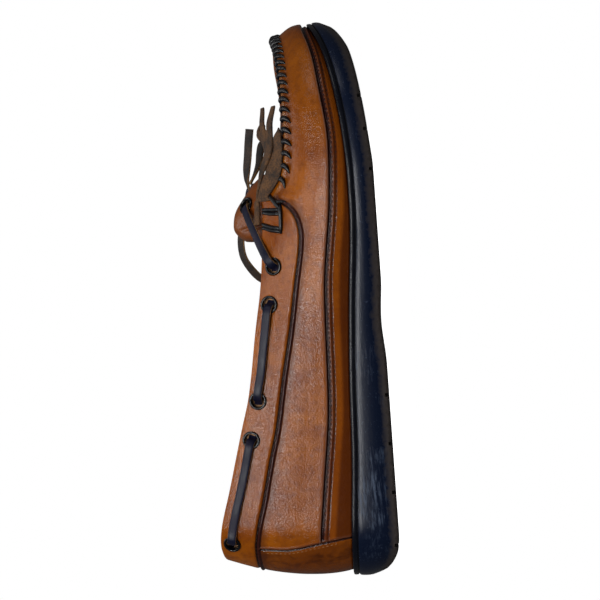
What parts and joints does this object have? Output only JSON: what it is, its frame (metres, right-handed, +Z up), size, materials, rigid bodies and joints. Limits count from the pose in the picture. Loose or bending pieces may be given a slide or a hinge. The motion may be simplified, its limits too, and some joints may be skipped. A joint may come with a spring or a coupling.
{
  "type": "boat shoe",
  "caption": "Low moccasin-toe boat shoe in burnished leather, with a hand-sewn plug seam, fringed kiltie flap, side lace through metal eyelets, tied bow and a one-piece rubber wedge sole.",
  "frame": {"origin": "under the middle of the shoe's outer box, on the ground", "axes": "+X to the toe, +Z up, the outer side of the foot at -Y"},
  "size_m": [0.2988, 0.1032, 0.0951],
  "materials": {
    "upper_leather": "polished, burnished brown grain leather",
    "lining": "matt natural lining leather",
    "suede": "brown suede, napped",
    "rubber": "satin moulded rubber, scuffed",
    "lace_leather": "dark dyed grain face with raw tan edges and suede back",
    "black_metal": "gloss black enamel"
  },
  "bodies": {
    "root": {"sole": "rubber", "insole": "lining", "upper": "upper_leather", "tongue": "upper_leather", "kiltie": "suede", "lace": "lace_leather", "eyelet_outer_1": "black_metal", "eyelet_outer_2": "black_metal", "eyelet_outer_3": "black_metal", "eyelet_outer_4": "black_metal", "eyelet_outer_5": "black_metal", "eyelet_outer_6": "black_metal", "eyelet_inner_1": "black_metal", "eyelet_inner_2": "black_metal", "eyelet_inner_3": "black_metal", "eyelet_inner_4": "black_metal", "eyelet_inner_5": "black_metal", "eyelet_inner_6": "black_metal", "bow_loop_back": "lace_leather", "bow_loop_front": "lace_leather", "bow_end_front": "lace_leather", "bow_end_back": "lace_leather", "bow_knot": "lace_leather"}
  },
  "joints": []
}
